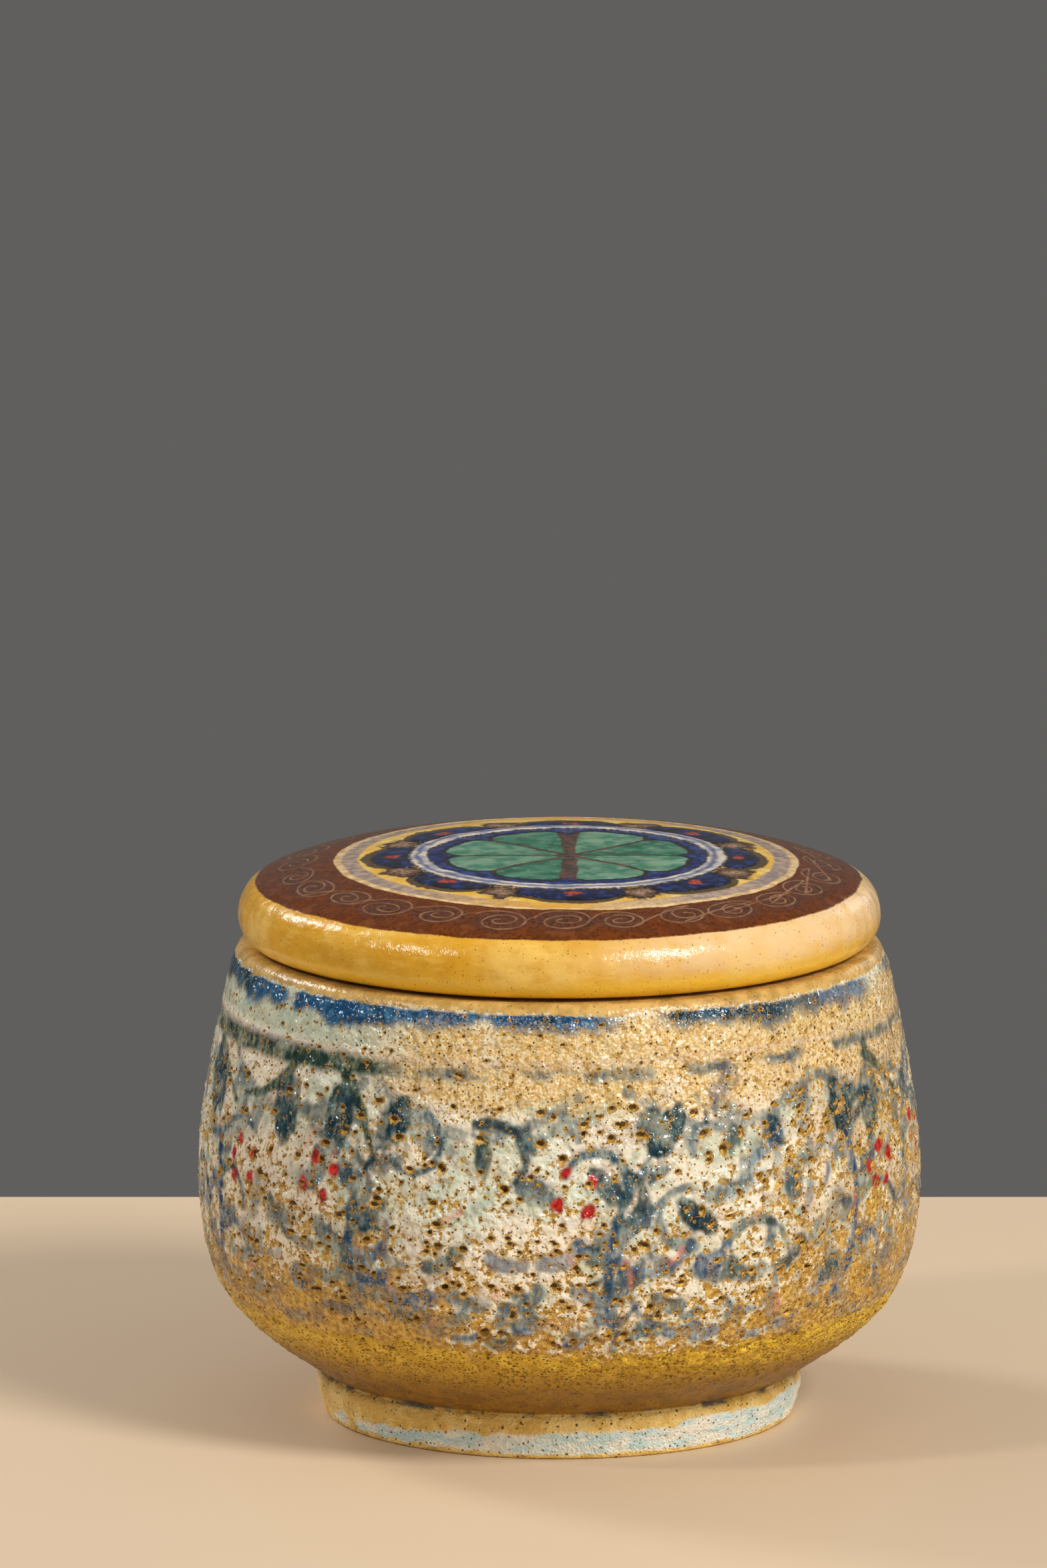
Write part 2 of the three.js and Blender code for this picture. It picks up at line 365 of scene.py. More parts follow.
def layGlaze():
    g = glazeBody
    cover = np.interp(height, g["coverHeights"], g["cover"])
    cover = cover - 0.34 * rightness * ramp(height, 26, 34) - 0.1 * leftness * ramp(60 - height, 0, 18)
    cover = cover - 0.5 * aside * ramp(37 - height, 0, 11) - 0.2 * aside * ramp(64 - height, 0, 8)
    lowRow = ring(height, 22.4, 25.2, 1.0) * ramp(middleField + fineField, -0.3, 0.4)
    cover = cover + 0.55 * (1 - aside) * lowRow
    pattern = 0.2 * coarseField + 0.36 * middleField + 0.62 * fineField + 0.62 * sandField
    flat["rust"][:] = edgeOf(-pattern - cover, 1.5)
    low = g["mustardHeight"] + 2 * aside - height + 1.2 * coarseField + 1.6 * middleField + 1.1 * fineField
    flat["mustard"][:] = edgeOf(low, 4.0)
    upper = ring(height + 1.4 * middleField, 62, 76.5, 3.5) * (1 - 0.95 * leftness)
    upper = upper * ramp(0.8 * coarseField + 0.5 * middleField, -1.5, -0.3)
    side = 0.6 * rightness * ring(height, 27, 78, 5) * ramp(coarseField + middleField, -0.6, 0.3)
    flat["speckle"][:] = np.clip(np.maximum(upper, side) + 0.12 + 0.2 * coarseField, 0, 1)
    flat["bare"][:] = edgeOf(height - g["bareHeight"] + 0.35 * middleField + 0.2 * sandField, 1.0)
    crust = ramp(np.maximum(flat["rust"], flat["mustard"]), 0.35, 0.65)
    crust = crust * (1 - ramp(flat["bare"], 0.3, 0.7))
    relief[:] += (g["creamHigh"] + g["creamWave"] * fineField) * (1 - crust) * (1 - flat["bare"])
    relief[:] += g["crustRough"] * crust * (0.7 * sandField + 0.8 * fineField)


layGlaze()


# Craters: each burst bubble is a dent with a low rim, and "pit" falls from 1 at its middle
# to 0.5 at its rim and 0 where its ochre halo ends

def burst(turn, along, radius, depthAndShade, stretch, tilt):
    where, x, y = patch(sheet, turn, along, radius * 3.4)
    c, s = math.cos(tilt), math.sin(tilt)
    d = np.hypot((x * c + y * s) / stretch, y * c - x * s) / radius
    relief[where] += -depthAndShade * (1 - ramp(d, 0.4, 1.1)) + depthAndShade * 0.2 * np.exp(-((d - 1.25) / 0.28) ** 2)
    lay("pit", np.clip(1 - d / 2, 0, 1), where)
    # painted shade: a dark patch above and left of the middle, where the upper lip shadows the hole
    under = np.hypot((x + 0.16 * radius) / stretch, y - 0.3 * radius) / (0.72 * radius)
    lay("shade", np.clip(1 - under / 2, 0, 1) * (d < 1.15), where)


def openCraters():
    g = glazeBody
    chance = np.random.default_rng(g["seed"])
    low, high = alongAt(g["craterHeights"][0]), alongAt(g["craterHeights"][-1])
    small, large = g["craterSizes"]
    made = 0
    while made < g["craters"]:
        turn, along = chance.uniform(0, 2 * math.pi), chance.uniform(low, high)
        row = int(np.searchsorted(sheet["along"], along))
        column = int(turn / (2 * math.pi) * sheet["columns"]) % sheet["columns"]
        z = sheet["height"][row]
        clusters = 1.6 * coarseField[row, column] + 0.5 * flat["rust"][row, column]
        wanted = np.interp(z, g["craterHeights"], g["craterShare"]) * (0.72 + 0.28 * np.clip(clusters, -1, 1))
        if chance.random() > wanted:
            continue
        radius = small + (large - small) * chance.random() ** 2.2
        if z > g["pinholesAbove"]:
            radius = small + (radius - small) * 0.45
        burst(turn, along, radius, (0.14 + 0.85 * radius) * chance.uniform(0.7, 1.15),
              chance.uniform(1, 1.8), chance.normal(0.35, 0.6))
        made += 1


openCraters()
print("craters opened")


# Brushwork: sprigs, garlands, leaves, berries and bands of our own, laid round the jar

brushwork = dict(
    blur=0.4, ragged=0.5, bandHeight=67.6, bandWidth=3.2, rimBandHeight=76.2, rimBandWidth=2.3,
    sprigs=9, sprigHeight=42.5, stemLength=29, stemCurl=52, stemWidth=2.1, leafLength=8.8, leafWidth=4.3,
    berryPlace=(8.2, 1.5), berrySpread=3.5, berryWidth=1.9, scrollWidths=(2.2, 1.1),
    garlandHeight=64.5, garlandRadius=57, garlandDrop=6.5,
    looseLeaves=26, looseHeights=(30, 58), slantHeight=65.5,
    slants=((-78, -35), (-50, -150), (-38, -60), (62, -40), (135, -145), (172, -50), (238, -130)),
    strokes=(    # laid in this order; a number or a range, and [start, end] where a width tapers
        dict(layers=("blueGrey", "teal"), count=32, heights=(30, 62), angle=(0, 360), length=(10, 20),
             curl=(70, 240), width=[1.0, 2.2], strength=(0.8, 1), steps=16),    # curled lines
        dict(layers=("blueGrey", "indigo", "blueGrey", "indigo", "teal"), count=84, heights=(24, 40),
             angle=(-50, 50), length=(3, 8), curl=60, width=(1.4, 3.2), strength=(0.6, 1)),    # commas
        dict(layers=("indigo", "blueGrey", "indigo", "teal"), count=90, heights=(22.5, 28),
             angle=(-18, 18), length=(2, 5.5), curl=40, width=(1.6, 2.8), strength=(0.75, 1)),    # low dabs
        dict(layers=("blueGrey",), count=44, heights=(28, 64), angle=(-50, 60), length=(5, 14), curl=90,
             width=(1, 3.4), strength=(0.5, 0.9), blur=0.8, ragged=1),    # soft washes
        dict(layers=("blueGrey", "indigo", "teal"), count=22, heights=(27, 38), angle=(-60, 40),
             length=(2, 5.5), curl=50, width=[(2.8, 4.6), (1.6, 3.4)], strength=(0.8, 1),
             blur=0.6, ragged=1.1),    # full drops
        dict(layers=("blueGrey", "indigo", "blueGrey", "teal"), count=30, side=(24, 82), heights=(28, 66),
             angle=(20, 130), length=(2.5, 9), curl=60, width=(1, 2.4), strength=(0.5, 0.9),
             blur=0.6, ragged=0.9),    # one side was brushed more closely
        dict(layers=("celadon",), count=46, heights=(34, 64), angle=(-50, 50), length=(6, 15), curl=70,
             width=(1.6, 3.4), strength=(0.6, 1), blur=0.8),
        dict(layers=("peach",), count=46, heights=(26, 60), angle=(-30, 40), length=(5, 12), curl=60,
             width=(1, 2.2), strength=(0.4, 0.8), blur=0.9),
        dict(layers=("coral",), count=46, heights=(25, 56), angle=(20, 120), length=(1, 4.5), curl=40,
             width=(0.6, 1.2), strength=(0.5, 0.95), blur=0.5)),
)


def brush(layer, turn, z, path, widths, strength=1.0, blur=brushwork["blur"], ragged=brushwork["ragged"]):
    path, widths = np.asarray(path, float), np.broadcast_to(widths, len(path))
    where, x, y = patch(sheet, turn, alongAt(z), np.abs(path).max() + widths.max() + 2 * blur + 1)
    edge = fromLine(x, y, path, widths) + ragged * feather[where]
    lay(layer, strength * (1 - ramp(edge, -blur, blur)), where)


def swing(start, angle, length, curl, steps=10):    # a curved path from a point, in mm and degrees
    turns = np.radians(angle + curl * np.linspace(-0.5, 0.5, steps))
    step = length / (steps - 1)
    path = np.column_stack([np.cumsum(np.cos(turns)), np.cumsum(np.sin(turns))]) * step
    return path - path[0] + start


def leaf(layer, turn, z, start, angle, length, width, strength=1.0, curl=14):
    path = swing(start, angle, length, curl)
    t = np.linspace(0, 1, len(path))
    swell = np.sin(math.pi * t)
    brush(layer, turn, z, path, width * np.sin(math.pi * t ** 0.8) ** 0.8 + 0.2, strength, 0.5,
          0.75 if layer == "teal" else 1.2)
    across = np.array([-math.sin(math.radians(angle)), math.cos(math.radians(angle))])
    across *= 1 if across[1] > 0 else -1
    brush("peach", turn, z, path + across * width * 0.55, 0.6 + 0.5 * swell, 0.8, 0.5)
    brush("celadon", turn, z, path - across * width * 0.75, 1.3 * swell + 0.3, 0.7, 0.5)
    brush("indigo", turn, z, path[1:-2], 0.5, 0.4)    # the vein


def berries(turn, z, start, count, chance):
    for i in range(count):
        angle = 2 * math.pi * (i + 0.3) / count + chance.uniform(-0.35, 0.35)
        reach = brushwork["berrySpread"] * chance.uniform(0.75, 1.15)
        middle = start + [reach * math.cos(angle), reach * math.sin(angle)]
        size = brushwork["berryWidth"] * chance.uniform(0.9, 1.2)
        brush("red", turn, z, [middle, middle + [0.15, size * 0.2]], size, 1.0, 0.35, 0.7)


def sprig(turn, z, lean, flip, chance):
    b = brushwork
    stem = swing([0, -15], 90 + lean, b["stemLength"], b["stemCurl"] * flip, 18)
    main = "indigo" if flip > 0 else "blueGrey"
    brush(main, turn, z, stem, np.linspace(b["stemWidth"] * 1.2, 1.1, len(stem)))
    brush("indigo", turn, z, stem[:11], np.linspace(1.1, 0.6, 11), 0.7, 0.5)
    brush("celadon", turn, z, stem + [2.3 * flip, 0.6], 1.6, 0.9)
    brush("peach", turn, z, stem - [1.7 * flip, -0.4], 0.9, 0.7)
    for i, at in enumerate((3, 6, 9, 12, 15)):    # leaves on both sides in turn
        side = flip * (1 if i % 2 else -1)
        away = 90 + lean + b["stemCurl"] * flip * (at / 17 - 0.5) - side * chance.uniform(46, 68)
        size = chance.uniform(0.75, 1.1) * (1.08 - 0.02 * at)
        layer = ("teal", "blueGrey", "blueGrey")[int(chance.integers(3))]
        leaf(layer, turn, z, stem[at], away, b["leafLength"] * size, b["leafWidth"] * size,
             chance.uniform(0.8, 1), 24 * side)
    leaf("teal", turn, z, stem[-1], 90 + lean + 22 * flip, b["leafLength"] * 1.15, b["leafWidth"] * 1.2)
    out, up = b["berryPlace"]
    berries(turn, z, stem[12] + [out * flip, up], 4 if chance.random() < 0.4 else 5, chance)
    for i, layer in enumerate(("blueGrey", "teal", "indigo")):    # open scrolls curl round the berries
        start = stem[13 - 3 * i] + [chance.uniform(-0.5, 0.5), 0]
        scroll = swing(start, 90 - flip * chance.uniform(10, 70) - 50 * i, chance.uniform(11, 17),
                       -flip * chance.uniform(90, 190), 16)
        brush(layer, turn, z, scroll, np.linspace(*b["scrollWidths"], len(scroll)), chance.uniform(0.75, 1))
        brush("peach", turn, z, scroll + [0.4, 1.5], 0.8, 0.7, 0.5)


def garland(turn, width, chance):    # hangs from the upper band between two sprigs
    z, drop = brushwork["garlandHeight"], brushwork["garlandDrop"]
    t = np.linspace(-1, 1, 22)
    path = np.column_stack([t * width / 2, -drop * (1 - t ** 2) + chance.uniform(-0.4, 0.4)])
    brush("blueGrey", turn, z, path, 1.3 + 0.9 * np.abs(np.sin(t * 7)), 0.75, 0.6, 0.9)
    brush("celadon", turn, z, path - [0, 2.3], 1.7, 0.8)
    for i, layer in enumerate(("teal", "blueGrey", "green", "teal", "blueGrey")):
        leaf(layer, turn, z, path[3 + 4 * i], 270 + (i - 2) * 24 + chance.uniform(-18, 18),
             chance.uniform(4.5, 7.5), chance.uniform(2.4, 3.8), chance.uniform(0.6, 1))


def paintBands():
    b = brushwork
    wander = 0.7 * around(turnGrid, (0.4, 2.1, 4.0, 1.2))
    fromBand = height - b["bandHeight"] - wander
    band = np.abs(fromBand + 0.35 * feather) - b["bandWidth"] / 2 + 0.6 * (1 - leftness)
    band = 1 - ramp(band, -0.7, 0.7)
    lay("green", band * ramp(leftness, 0.1, 0.6))
    broken = ramp(coarseField + 0.6 * middleField, -0.2, 0.35)
    lay("blueGrey", 0.95 * band * (1 - leftness) * broken)
    clouds = ramp(0.6 * coarseField + 0.7 * middleField, -0.4, 0.5) * ring(height, 24, 66, 4)
    lay("peach", np.maximum(ring(fromBand, 1.3, 2.4, 0.45) * (0.55 + 0.4 * leftness), 0.5 * clouds * aside))
    lay("celadon", 0.85 * leftness * ring(height + 0.5 * feather, 70.2, 75.4, 0.8))
    streaks = grain(np.column_stack([skin[:, :2] / 2.9, skin[:, 2] / 12]), 1, 9).reshape(sheet["shape"])
    slow = grain(np.column_stack([skin[:, :2] / 7, skin[:, 2] / 30]), 1, 10).reshape(sheet["shape"])
    lower = b["rimBandHeight"] - b["rimBandWidth"] / 2 - 1.1 * leftness - 1.1 * wander - 0.8 * slow
    lower = lower - (0.6 + 0.3 * leftness + 0.9 * rightness) * np.clip(streaks, -0.5, 1)
    upper = b["rimBandHeight"] + b["rimBandWidth"] / 2 + 0.3 * streaks
    rim = ramp(height + 0.5 * middleField + 0.4 * fineField, lower - 2.3, lower + 1.5)
    rim = rim * (1 - ramp(height + 0.3 * feather, upper - 0.7, upper + 0.5))
    gaps = ramp(1.2 * slow + 0.25 * streaks + 0.5 * leftness + 0.2, -0.3, 0.25)
    lay("rimBlue", rim * (0.12 + 0.88 * gaps) * (1 - 0.3 * rightness))
    lay("celadon", 0.7 * ring(height, lower - 2.8, lower, 1.1) * gaps)


def roundJar(chance, count, heights, side=None):    # places round the jar, or within one side of it
    for i in range(count):
        degrees = chance.uniform(*side) if side else 360 * (i + chance.uniform(-0.5, 0.5)) / count
        yield i, math.radians(degrees), chance.uniform(*heights)


def stroke(kind, i, turn, z, chance):
    def drawn(value):
        return chance.uniform(*value) if isinstance(value, tuple) else value

    steps, width = kind.get("steps", 10), kind["width"]
    path = swing([0, 0], drawn(kind["angle"]), drawn(kind["length"]), drawn(kind["curl"]), steps)
    widths = np.linspace(*map(drawn, width), steps) if isinstance(width, list) else drawn(width)
    brush(kind["layers"][i % len(kind["layers"])], turn, z, path, widths, drawn(kind["strength"]),
          kind.get("blur", brushwork["blur"]), kind.get("ragged", brushwork["ragged"]))


def paintBody():
    chance = np.random.default_rng(glazeBody["seed"] + 5)
    b = brushwork
    paintBands()
    step = 2 * math.pi / b["sprigs"]
    for i in range(b["sprigs"]):
        turn = step * (i + 0.2 + chance.uniform(-0.08, 0.08))
        z = b["sprigHeight"] + chance.uniform(-1.5, 1.5)
        sprig(turn, z, chance.uniform(-14, 14), 1 if i % 2 else -1, chance)
        garland(turn + step / 2, b["garlandRadius"] * step * 0.86, chance)
    for side, lean in b["slants"]:    # slant down from the band
        turn, z = math.radians(side), b["slantHeight"]
        brush("green", turn, z, swing([0, 0], lean, 15, lean / 3), np.linspace(2.6, 1.0, 10))
        leaf("teal", turn, z - 2, [0, 0], -90 + chance.uniform(-16, 16), 11.5, 6.2)
    for i, turn, z in roundJar(chance, b["looseLeaves"], b["looseHeights"]):
        angle, length, width = chance.uniform(-50, 230), chance.uniform(5.5, 9), chance.uniform(2.8, 4.8)
        layer = ("blueGrey", "teal", "blueGrey")[i % 3]
        leaf(layer, turn, z, [0, 0], angle, length, width, chance.uniform(0.6, 1), chance.uniform(-40, 40))
    for kind in b["strokes"]:
        for i, turn, z in roundJar(chance, kind["count"], kind["heights"], kind.get("side")):
            stroke(kind, i, turn, z, chance)
    fade = ramp(height + 1.5 * middleField, 19.5, 23.5) * (1 - flat["bare"])
    for name in ("blueGrey", "teal", "indigo", "green", "celadon", "peach", "red", "coral"):
        flat[name] *= fade
    # painted places kept more of their glaze
    strokes = np.maximum.reduce([flat[name] for name in ("blueGrey", "teal", "indigo", "green")])
    flat["rust"][:] = np.clip(flat["rust"] - 0.24 * strokes, 0, 1)
    flat["mustard"][:] = np.clip(flat["mustard"] - 0.2 * strokes, 0, 1)


def glazeFoot():
    level = height + 0.3 * middleField + 0.2 * fineField
    towards = np.cos(turnGrid - math.radians(glazeBody["poolSide"]))
    top = glazeBody["poolHeight"] + glazeBody["poolLean"] * towards + 0.8 * coarseField
    pool = np.minimum(top - level, (level - 0.9) * 2)
    pool = pool - 1.5 * ramp(middleField - 0.9 * np.cos(turnGrid - 0.95), 0.0, 0.8)
    flat["turquoise"][:] = edgeOf(pool, 2.0) * (1 - ramp(height, 6.4, 7.4))
    crease = 1 - ramp(np.abs(height - bodyShape["footHeight"] - 0.15) - 0.3, 0, 0.6)
    lay("indigo", crease * ramp(middleField + fineField, -0.2, 0.7))
    pits = ramp(field(0.95, 21, 1.9) + 0.3 * sandField, -0.1, 0.5)
    grainy = ramp(flat["mustard"], 0.4, 0.6) * ramp(height, 10.5, 15)
    relief[:] -= grainy * (0.24 * pits - 0.07 * fineField)
    flat["dent"][:] = pits * grainy


paintBody()
glazeFoot()
print("body painted")

# Throwing marks, and a level rim and foot
relief += (glazeBody["wobble"] * around(turnGrid, (1.3, 0.2, 2.9)) - glazeBody["sunk"]) * ramp(height, 8, 20)
marks = np.sin(height * 2 * math.pi / glazeBody["throwingPitch"] + 0.6 * coarseField)
relief += glazeBody["throwing"] * marks * ramp(height, 8, 14)
relief *= ramp(height, 0.2, 1.2) * (1 - 0.75 * flat["bare"])
rimPart = relief[body["blocks"]["rim"].start - body["blocks"]["foot"].start:]
rimPart *= np.linspace(0.4, 0, len(rimPart))[:, None]

insidePart = np.r_[spot(body, "mouthStep"), spot(body, "inside"), spot(body, "floor")]
underPart = np.r_[spot(body, "under"), spot(body, "underStep"), spot(body, "footStep")]
rowHeights = body["rows"][body["rowOf"], 1]
insideHeight = rowHeights[insidePart]
fades = ramp(rimHeight - insideHeight, bodyShape["rimRound"], bodyShape["ringPitch"] * 2)
fades = fades * ramp(insideHeight - floorHeight, 0, bodyShape["ringPitch"] / 2)
wave = np.sin(2 * math.pi * (insideHeight - floorHeight) / bodyShape["ringPitch"] + body["turn"][insidePart])
body["high"][insidePart] = -bodyShape["ringDepth"] * wave * fades
masks["bare"][underPart] = 1
masks["bare"][spot(body, "mouthStep")] = 0.6
masks["celadon"][np.r_[spot(body, "inside"), spot(body, "floor")]] = 0.5

jarBody = build("jar_body_glazed", body, masks)
print("body built")

# The lid

glazeLid = dict(
    columns=2048, bandStep=0.17, topStep=0.25, sideStep=0.34, coarse=1.0, seed=4,
    scrolls=27, scrollAcross=5.2, scrollIn=3.3, scrollTurns=2.1, scratchWidth=0.21, scratchDepth=0.09,
    paintHigh=0.08, whiteHigh=0.1, creamHigh=0.07, brownHigh=0.05, lineDeep=0.07, spokeDeep=0.06,
    paleRightSide=66,    # degrees from the front, towards which the upper side is paler
)

lidRings = dict(    # radii in mm
    brownOuter=50.1, brownInner=38.4, creamInner=37.1, greyInner=34.4, lobeOuter=32.4, lobeInner=26.4,
    whiteInner=23.3, blueInner=21.4, petalOuter=20.6, ringShift=(1.4, -1.6), shift=(1.7, -2.8),
    lobeHalf=17.2, petals=8, blotch=29.7, dash=28.7, heart=2.1,
)


def lidOutline():
    s = lidShape
    rim = bellyRadius - bodyShape["shoulderTuck"] - bodyShape["rimTuck"]
    flange = rim - bodyShape["rimWidth"] - s["flangeClearance"]
    end, ceilingHeight = seatHeight - s["flangeDepth"], crownHeight - s["thickness"]
    inside = flange - s["flangeWidth"]
    edge = point(inside - s["hollowFillet"], ceilingHeight - s["hollowDome"])
    corner, inner = point(inside, edge[1]), point(inside, end)
    outer, root = point(flange - s["flangeTaper"], end), point(flange, seatHeight)
    seatEdge = point(lidRadius - s["underTuck"], seatHeight)
    waist = point(lidRadius, seatHeight + s["waistRise"])
    shoulder = point(lidRadius - s["shoulderTuck"], seatHeight + s["shoulderRise"])
    axis, crown = point(0, ceilingHeight), point(0, crownHeight)
    upper, inwards = s["shoulderRise"] - s["waistRise"], heading(180 - s["shoulderSlope"])
    under = [bend(axis, point(edge[0] / 3, ceilingHeight), point(edge[0] * 2 / 3, edge[1]), edge),
             roundEdge(edge, corner, inner, s["hollowFillet"]),
             roundEdge(corner, inner, outer, s["flangeRound"]),
             roundEdge(inner, outer, root, s["flangeRound"]),
             roundEdge(outer, root, seatEdge, bodyShape["rimRound"] / 2), seatEdge[None]]
    side = [bend(seatEdge, seatEdge + point(s["underTuck"] * 0.72, 0),
                 waist - point(0, s["waistRise"] * 0.47), waist),
            bend(waist, waist + point(0, upper * 0.62), shoulder - inwards * upper * 0.42, shoulder)]
    top = bend(shoulder, shoulder + inwards * shoulder[0] * 0.275,
               crown + point(shoulder[0] * 0.415, 0), crown)
    return under, side, top


def cut(path, low, high):    # the part of a path that runs inwards between two radii
    radii = path[:, 0]
    ends = [point(r, np.interp(-r, -radii, path[:, 1])) for r in (high, low)]
    return np.vstack([ends[0][None], path[(radii < high) & (radii > low)], ends[1][None]])


def throwLid():
    g, n = glazeLid, glazeLid["columns"]
    under, side, top = lidOutline()
    shoulder = top[0, 0]
    band = lidRings["brownInner"] - 0.6
    return spin([
        ("under", evenRows(g["coarse"], *under), n // 8), ("sideStep", evenRows(0.3, side[0][:8]), n // 4),
        ("side", evenRows(g["sideStep"], side[0][7:], *side[1:]), n // 2),
        ("band", evenRows(g["bandStep"], cut(top, band, shoulder)), n),
        ("rings", evenRows(g["topStep"], cut(top, 18, band)), n // 2),
        ("petals", evenRows(g["topStep"], cut(top, 9, 18)), n // 4),
        ("petalRoots", evenRows(g["topStep"], cut(top, 4.5, 9)), n // 8),
        ("heart", evenRows(g["topStep"], cut(top, 2, 4.5)), n // 16),
        ("eye", evenRows(g["topStep"], cut(top, 0.8, 2)), n // 32),
        ("crown", evenRows(0.4, cut(top, 0, 0.8)), n // 64),
    ])


lid = throwLid()
lidMasks = {name: np.zeros(lid["starts"][-1]) for name in (
    "brown", "scratch", "cream", "grey", "yellow", "lobe", "white", "blue", "petal",
    "line", "dash", "blotch", "pale", "bare", "paleRight", "spoke", "tint")}
lidSkin = places(lid)
lidRadial = np.hypot(lidSkin[:, 0], lidSkin[:, 1])
lidTurn = np.arctan2(lidSkin[:, 0], -lidSkin[:, 1])
onTop = np.arange(len(lidRadial)) >= spot(lid, "side").start
print("lid thrown:", len(lid["high"]), "points")


def paintRings():
    m, k = lidMasks, lidRings
    wobble = 0.3 * around(lidTurn, (0.3, 1.9, 3.3, 5.0, 0.8, 2.2)) + 0.35 * grain(lidSkin, 3.4, 31)
    wobble += 0.14 * grain(lidSkin, 1.0, 41)
    outer = lidRadial + 0.5 * wobble
    r = np.hypot(lidSkin[:, 0] - k["ringShift"][0], lidSkin[:, 1] - k["ringShift"][1]) + 0.7 * wobble
    side = np.abs(np.sin(lidTurn))    # the rings were brushed wider at the two sides
    m["brown"][:] = edgeOf(np.minimum(r - k["brownInner"], k["brownOuter"] - outer), 0.8)
    m["cream"][:] = edgeOf(np.minimum(r - k["creamInner"] - 0.6 * (1 - side), k["brownInner"] - r), 0.8)
    m["grey"][:] = edgeOf(np.minimum(r - k["greyInner"], k["creamInner"] + 0.5 - r), 0.8)
    m["grey"] *= 0.25 + 0.75 * side
    m["yellow"][:] = edgeOf(k["greyInner"] + 0.9 * (1 - side) - r, 0.8)

    # eight lobes, with a brown blotch between each two
    offX, offY = lidSkin[:, 0] - k["shift"][0], lidSkin[:, 1] - k["shift"][1]
    middle = np.hypot(offX, offY)
    inner = middle + wobble
    turn = np.arctan2(offX, -offY) + 0.035 * grain(lidSkin, 5.0, 42)
    eighths = turn / (2 * math.pi) * k["petals"]
    index = np.floor(eighths + 0.5) % k["petals"]
    uneven = 0.5 * np.sin(index * 2.4 + 0.7)
    degrees = np.abs((eighths + 0.5) % 1 - 0.5) * 360 / k["petals"]    # from a lobe's middle
    half = k["lobeHalf"] + 2.4 * uneven
    arch = np.sqrt(np.clip(1 - (degrees / half) ** 2, 0, 1)) ** 0.7
    reach = k["lobeInner"] + (k["lobeOuter"] + uneven - k["lobeInner"]) * arch
    m["lobe"][:] = edgeOf(np.minimum(reach - inner, inner - k["lobeInner"]), 0.9)
    onLobe = (inner > k["lobeInner"] + 0.3) & (degrees < half + 1.5)
    lobeLine = np.where(onLobe, 0.89 - np.abs(reach - inner + 0.5), -9)
    between = np.radians(180 / k["petals"] - degrees) * inner
    blotch = np.hypot(between / 4.6, (inner - k["blotch"] - 0.8 * uneven) / 3.5)
    blotch += 0.25 * grain(lidSkin, 1.6, 43)
    m["blotch"][:] = edgeOf(1 - blotch, 0.7) * (1 - m["lobe"])
    dash = np.hypot(np.radians(degrees) * inner / 1.5, (inner - k["dash"] - uneven * 0.8) / 1.2)
    m["dash"][:] = edgeOf(1 - dash + 0.4 * grain(lidSkin, 0.9, 35), 0.9)

    # the white ring, and the petals on blue with a spoke between each two
    m["white"][:] = edgeOf(np.minimum(inner - k["whiteInner"], k["lobeInner"] - inner), 0.8)
    m["blue"][:] = edgeOf(k["whiteInner"] - inner, 0.8)
    within = inner < k["blueInner"]
    spoke = np.radians(22.5 - np.abs(22.5 - degrees % 45)) * inner    # distance to the next spoke
    petalEnd = k["petalOuter"] - 3.0 * np.clip(1 - spoke / 3.8, 0, 1) ** 2
    m["petal"][:] = edgeOf(petalEnd - inner, 0.8)
    front, rear = [(index == eighth) & (degrees < 22.5) for eighth in (0, k["petals"] / 2)]
    stout = np.select([front, rear], [0.95, 0.45 + 0.04 * inner], 0.1)
    m["spoke"][:] = edgeOf(stout + 0.38 - spoke, 0.6) * within * (inner < petalEnd + 1)
    heart = k["heart"] + 0.5 * grain(lidSkin, 1.5, 34) - middle
    m["spoke"][:] = np.maximum(m["spoke"], edgeOf(heart, 1.6))
    outline = np.where(within & (inner > petalEnd - 0.3), petalEnd + 0.9 - inner, -9)
    edges = np.maximum(0.2 - np.abs(inner - k["lobeInner"]), 0.15 - np.abs(inner - k["whiteInner"]))
    lines = np.maximum(np.maximum(outline, lobeLine), edges)
    m["line"][:] = edgeOf(lines + 0.2 * grain(lidSkin, 0.8, 33), 0.7)

    # one mask of tones: petal by petal, a thin line in the white ring, and the blotches' middles
    petalTone = 0.5 + 0.45 * np.sin(np.floor(eighths) * 2.1 + 0.4)
    petalTone = np.clip(petalTone + 0.35 * ramp(spoke, 2, 6) * ramp(inner, 4, 15), 0, 1)
    whiteLine = np.abs(inner - (k["whiteInner"] + k["lobeInner"]) / 2 + 0.9 * wobble - 0.2)
    blotchTone = np.clip(1.15 - blotch * 1.5, 0, 1)
    ringTone = np.maximum(blotchTone, 1 - ramp(whiteLine, 0.1, 0.8))
    m["tint"][:] = np.select([within, inner < k["lobeInner"] - 0.3], [petalTone, ringTone], blotchTone)
    for name in m:
        m[name] *= onTop


